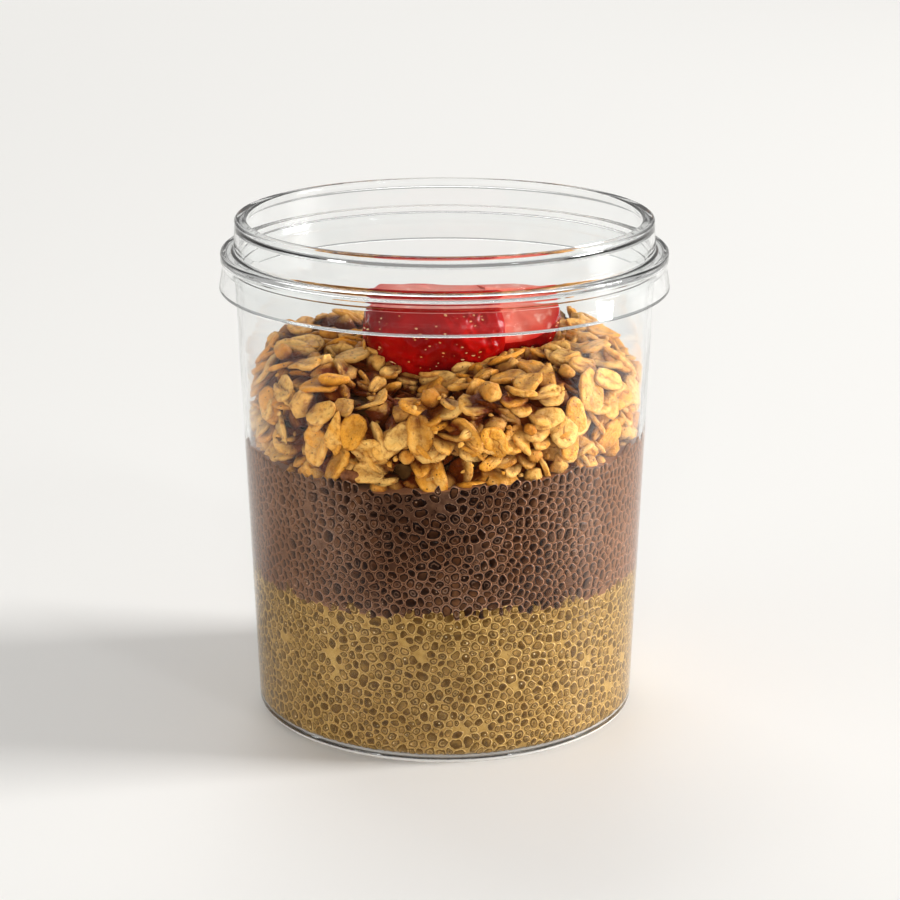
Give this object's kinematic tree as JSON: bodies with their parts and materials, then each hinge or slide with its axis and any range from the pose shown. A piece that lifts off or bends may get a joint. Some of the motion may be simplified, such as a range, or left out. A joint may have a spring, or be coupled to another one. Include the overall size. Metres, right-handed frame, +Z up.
{
  "type": "chia pudding in a clear plastic pot",
  "caption": "Open clear plastic pot with a flanged rim, filled with pale and dark layers of chia pudding, a heap of granola and cut strawberry on top.",
  "frame": {"origin": "centre of the pot's foot, on the plane it stands on", "axes": "+Z up along the pot's axis, -Y towards the side where the large strawberry piece shows its skin"},
  "size_m": [0.095, 0.095, 0.1072],
  "materials": {
    "clear_plastic": "clear, glossy moulded plastic",
    "pale_chia": "wet pale pudding packed with swollen olive-brown chia seeds",
    "dark_chia": "wet dark brown pudding packed with near-black chia seeds",
    "toasted_oats": "dry toasted oat flakes and crisp balls with a thin sugar glaze",
    "strawberry": "moist red skin with small seeds, paler moist flesh where it is cut"
  },
  "bodies": {
    "root": {"pot": "clear_plastic", "chia_pale": "pale_chia", "chia_dark": "dark_chia", "granola": "toasted_oats", "strawberry_large": "strawberry", "strawberry_small": "strawberry"}
  },
  "joints": []
}
